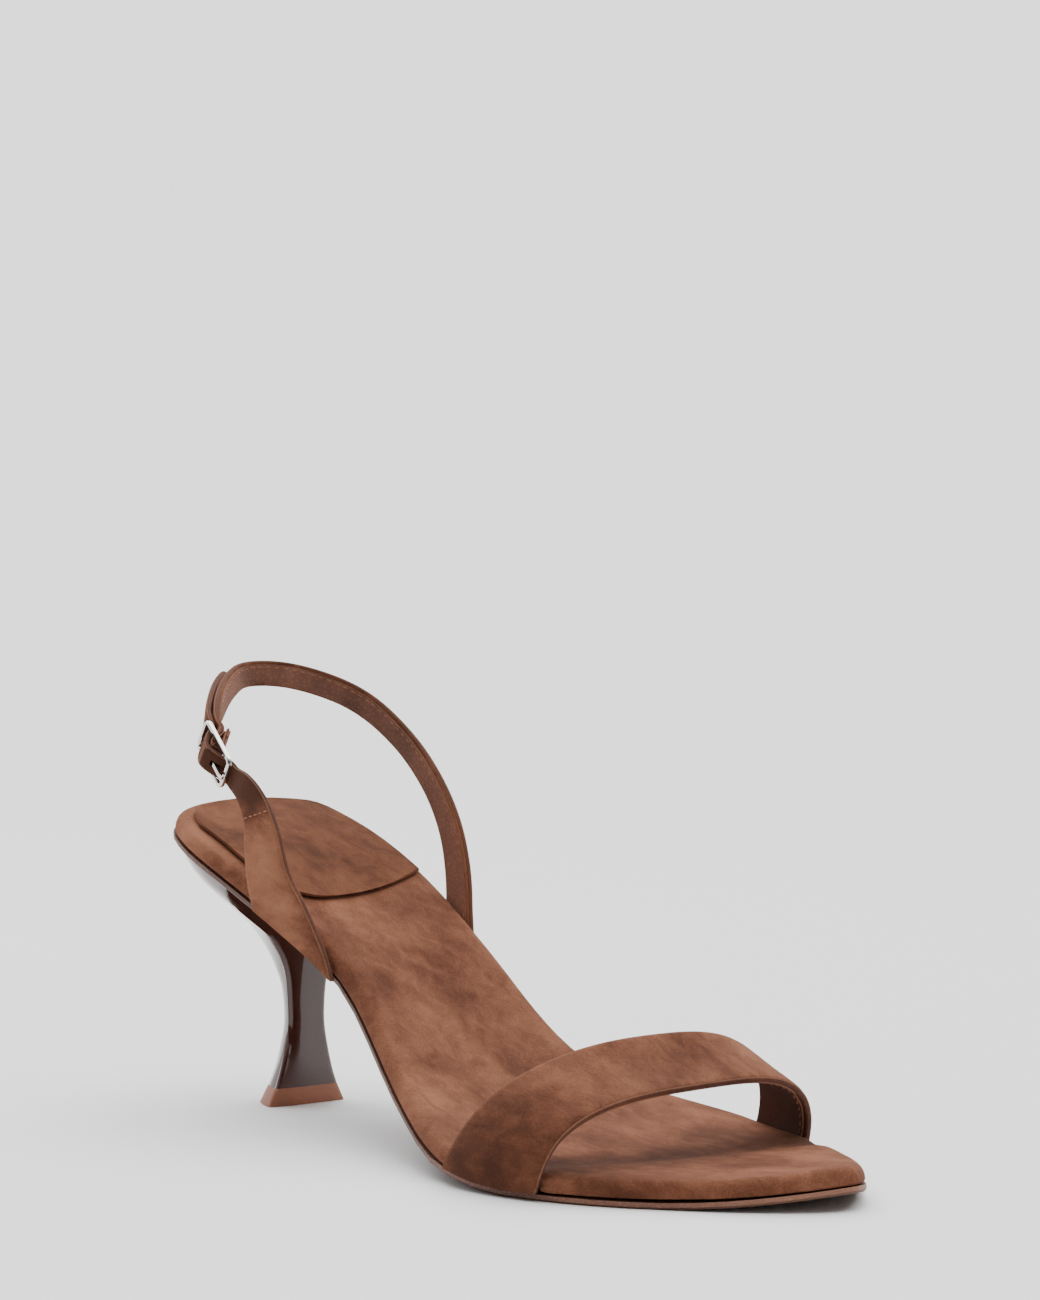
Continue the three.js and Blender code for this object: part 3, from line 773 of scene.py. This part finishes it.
def stitch_seam(strap):
    """The seam where the narrow strap is sewn on the gusset, found on its outer face."""
    places = []
    for k in range(SEAM_STITCHES):
        share = (k + 0.5) / SEAM_STITCHES
        start = Vector(SEAM_BACK).lerp(Vector(SEAM_FRONT), share)
        hit, place, normal, _ = strap.ray_cast(Vector((start.x, -OUTSIDE, start.z)), Vector((0, 1, 0)))
        if hit:
            along = (Vector(SEAM_FRONT) - Vector(SEAM_BACK)).normalized()
            along = (along - normal * along.dot(normal)).normalized()
            places.append((place + normal * SEAM_PROUD, along, normal))
    return sew("gusset_seam_stitches", places)


def punch_tail(strap):
    """Punched holes in the tail, past the buckle."""
    for turn in TAIL_HOLES:
        out = Vector((math.cos(turn), math.sin(turn), 0))
        middle = Vector((ANKLE_X, 0, TAIL_HEIGHT + TAIL_RISE * (TAIL_HOLES[0] - turn)))
        hit, place, normal, _ = strap.ray_cast(middle + out * OUTSIDE, -out)
        if not hit:
            continue
        bpy.ops.object.select_all(action="DESELECT")
        bpy.ops.mesh.primitive_cylinder_add(
            vertices=16, radius=HOLE_RADIUS, depth=HOLE_DEPTH, location=place,
            rotation=normal.to_track_quat("Z", "Y").to_euler(),
        )
        punch = bpy.context.object
        apply_modifier(strap, "BOOLEAN", object=punch, operation="DIFFERENCE", solver="EXACT")
        bpy.data.objects.remove(punch)


# Soft troughs and ridges placed along listed lines

def press(piece, start, end, depth, reach, rule):
    """Presses a soft trough along a line, or raises a ridge where the depth is negative."""
    start, end = Vector(start), Vector(end)
    run = end - start
    for vertex in piece.data.vertices:
        share = max(0, min(1, (vertex.co - start).dot(run) / run.length_squared))
        away = (vertex.co - start - run * share).length
        if away < 3 * reach and rule(vertex.co):
            vertex.co.z -= depth * math.exp(-((away / reach) ** 2))


def build_footbed():
    piece = skin_of("footbed", "padded_footbed")
    smooth(piece)
    for start, end, depth, reach in FOOTBED_TROUGHS:
        press(piece, start, end, depth, reach, rule=lambda place: abs(place.y) < FOOTBED_REACH)
    paint_tone_and_shading(piece, FOOTBED_MARKS)
    shade(piece)
    return finish_piece(piece, "suede", [footbed_suede], "footbed")


def build_sock():
    piece = skin_of("heel_sock", "heel_sock_suede")
    paint_tone_and_shading(piece, SOCK_MARKS)
    shade(piece, 30)
    return finish_piece(piece, "sock", [sock_suede], "heel_sock")


def build_outsole():
    piece = skin_of("outsole", "leather_outsole")
    # Paints shade on the sole towards the heel.
    paint_tone_and_shading(piece, SOLE_EDGE_PAINTED_SHADE)
    shade(piece, 40)
    colour_faces(piece, lambda place, normal: 1 if normal.z < TREAD else 0)
    return finish_piece(piece, "sole", [sole_edge, sole_tread], "outsole")


def is_upright_arris(first, second, run):
    """An edge that runs up the heel between its flat breast and its round back."""
    breast = max(first.x, second.x) > FACING_FORWARD
    return breast and abs(run.z) > RISING_EDGE and first.dot(second) < UPRIGHT_TURN


def is_level_arris(first, second, run):
    """An edge round the top or the foot of the heel or its lift."""
    return abs(run.z) <= RISING_EDGE and first.dot(second) < LEVEL_TURN


def turn_breast(piece):
    """Turns the breast back a little towards its outer arris, ring by ring."""
    rings = {}
    for vertex in piece.data.vertices:
        rings.setdefault(round(vertex.co.z / RING_PITCH), []).append(vertex)
    for ring in rings.values():
        face = max(vertex.co.x for vertex in ring)
        breast = [vertex for vertex in ring if face - vertex.co.x < BREAST_FLAT]
        if len(breast) < BREAST_CORNERS:
            continue
        outer = min(vertex.co.y for vertex in breast)
        width = max(vertex.co.y for vertex in breast) - outer
        for vertex in breast:
            near = max(0, 1 - (vertex.co.y - outer) / width / BREAST_TURN)
            vertex.co.x -= width * BREAST_DEPTH * near ** BREAST_CURVE
            if near == 1:
                vertex.co.y += width * ARRIS_INWARD


def round_arrises(piece):
    """Rounds the upright arrises and keeps the level ones crisp under the smoothing."""
    select_edges(piece, is_upright_arris)
    bpy.ops.mesh.bevel(offset=ARRIS_ROUND, segments=2, affect="EDGES")
    select_edges(piece, is_level_arris)
    bpy.ops.transform.edge_crease(value=1)
    done()


def round_foot(piece):
    """Breaks the sharp edge round the flat ends of the heel or its lift."""
    apply_modifier(
        piece, "BEVEL", width=FOOT_BEVEL, segments=2, limit_method="ANGLE",
        angle_limit=math.radians(FOOT_ANGLE),
    )
    edit(piece)
    bpy.ops.mesh.dissolve_degenerate(threshold=SLIVER)
    done()


def build_heel():
    piece = skin_of("heel", "lacquered_heel")
    turn_breast(piece)
    round_arrises(piece)
    smooth(piece)
    round_foot(piece)
    shade(piece, 45)
    return finish_piece(piece, "heel", [heel_lacquer], "heel")


def build_lift():
    piece = skin_of("heel_top_piece", "heel_lift")
    turn_breast(piece)
    round_arrises(piece)
    smooth(piece)
    round_foot(piece)
    shade(piece, 35)
    return finish_piece(piece, "lift", [lift_rubber], "heel_top_piece")


def build_buckle():
    for node in ("buckle_frame", "buckle_prong"):
        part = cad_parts[node]
        part.data.materials.clear()
        part.data.materials.append(polished_steel)


build_outsole()
build_footbed()
build_heel()
build_lift()
toe_strap = build_strap("toe_strap", "toe_strap_suede", towards_toes, TOE_STRAP_MARKS, OUTSIDE_SUEDE)
sling_strap = build_strap("sling_strap", "sling_strap_suede", towards_ankle, SLING_PAINTED_SHEEN, OUTSIDE_SUEDE)
punched_strap = build_strap(
    "lateral_strap", "punched_strap_suede", towards_ankle, PUNCHED_STRAP_MARKS, BARE_LINING
)
toe_sides = build_lining(toe_strap, "toe_strap_lining", towards_toes, toe_lining_painted_shade)
sling_sides = build_lining(
    sling_strap, "sling_strap_lining", towards_ankle, lining_leather, turned_down=True
)
upper, lower = sorted(sling_sides, key=middle_height, reverse=True)
stitch_side("sling_lining_stitches", upper, lower, towards_ankle)
front, back = sorted(toe_sides, key=lambda line: -sum(p.x for p in line) / len(line))
stitch_side("toe_lining_stitches", front, back, towards_toes)
stitch_seam(punched_strap)
punch_tail(punched_strap)
build_sock()
build_buckle()


# Studio

def build_floor():
    bpy.ops.object.select_all(action="DESELECT")
    middle = Vector(DARK_SIDE).normalized() * (FLOOR_FRONT - FLOOR_RADIUS)
    bpy.ops.mesh.primitive_circle_add(
        vertices=256, radius=FLOOR_RADIUS, fill_type="NGON", location=middle
    )
    bpy.ops.object.transform_apply(location=True)
    floor = bpy.context.object
    floor.name = "studio_floor"
    made, tree, shader = new_material("studio_floor_paint")
    shader.inputs["Base Color"].default_value = (0.9, 0.9, 0.9, 1)
    shader.inputs["Roughness"].default_value = 0.7
    floor.data.materials.append(made)


def add_softbox(name, place, target, size, power):
    data = bpy.data.lights.new(name, "AREA")
    data.shape = "RECTANGLE"
    data.size, data.size_y = size
    data.energy = power
    lamp = bpy.data.objects.new(name, data)
    bpy.context.scene.collection.objects.link(lamp)
    lamp.location = place
    lamp.rotation_euler = (Vector(target) - Vector(place)).to_track_quat("-Z", "Y").to_euler()


def mirrored_room(tree):
    """The room as polished parts mirror it: white walls and a dark side behind the camera."""
    facing = tree.nodes.new("ShaderNodeVectorMath")
    facing.operation = "DOT_PRODUCT"
    tree.links.new(tree.nodes.new("ShaderNodeTexCoord").outputs["Generated"], facing.inputs[0])
    facing.inputs[1].default_value = DARK_SIDE
    bright = remap(tree, facing.outputs["Value"], (0.4, 0.5), (1.1, 0.05))
    room = tree.nodes.new("ShaderNodeBackground")
    tree.links.new(bright, room.inputs["Strength"])
    return room.outputs[0]


def build_lights():
    world = bpy.data.worlds.new("studio_air")
    bpy.context.scene.world = world
    world.use_nodes = True
    tree = world.node_tree
    air = tree.nodes["Background"]
    air.inputs["Color"].default_value = (1, 1, 1, 1)
    air.inputs["Strength"].default_value = AIR_STRENGTH
    paper = tree.nodes.new("ShaderNodeBackground")
    paper.inputs["Strength"].default_value = PAPER_STRENGTH
    seen = tree.nodes.new("ShaderNodeMixShader")
    rays = tree.nodes.new("ShaderNodeLightPath")
    mirrored = tree.nodes.new("ShaderNodeMixShader")
    tree.links.new(rays.outputs["Is Glossy Ray"], mirrored.inputs["Fac"])
    tree.links.new(air.outputs[0], mirrored.inputs[1])
    tree.links.new(mirrored_room(tree), mirrored.inputs[2])
    tree.links.new(rays.outputs["Is Camera Ray"], seen.inputs["Fac"])
    tree.links.new(mirrored.outputs[0], seen.inputs[1])
    tree.links.new(paper.outputs[0], seen.inputs[2])
    tree.links.new(seen.outputs[0], tree.nodes["World Output"].inputs["Surface"])
    data = bpy.data.lights.new("overhead_silk", "SUN")
    data.energy = SILK_STRENGTH
    data.angle = math.radians(SILK_SPREAD)
    silk = bpy.data.objects.new("overhead_silk", data)
    bpy.context.scene.collection.objects.link(silk)
    silk.rotation_euler = Vector(SILK_FROM).to_track_quat("Z", "Y").to_euler()
    add_softbox(
        "left_softbox", place=(-0.9, -0.35, 0.45), target=(-0.14, 0, 0.05), size=(0.25, 0.8), power=2.5
    )


def build_camera():
    """Stands where the photograph was taken from, a little above the straps' height."""
    data = bpy.data.cameras.new("photo_camera")
    data.sensor_fit = "HORIZONTAL"
    data.sensor_width = 36
    data.lens = CAMERA_LENS
    data.clip_start = 0.01
    camera = bpy.data.objects.new("photo_camera", data)
    bpy.context.scene.collection.objects.link(camera)
    ahead = Vector(CAMERA_AHEAD).normalized()
    aside = ahead.cross(Vector((0, 0, 1))).normalized()
    above = aside.cross(ahead)
    turned = Matrix((aside, above, -ahead)).transposed().to_4x4()
    camera.matrix_world = Matrix.Translation(CAMERA_PLACE) @ turned
    bpy.context.scene.camera = camera


build_floor()
build_lights()
build_camera()
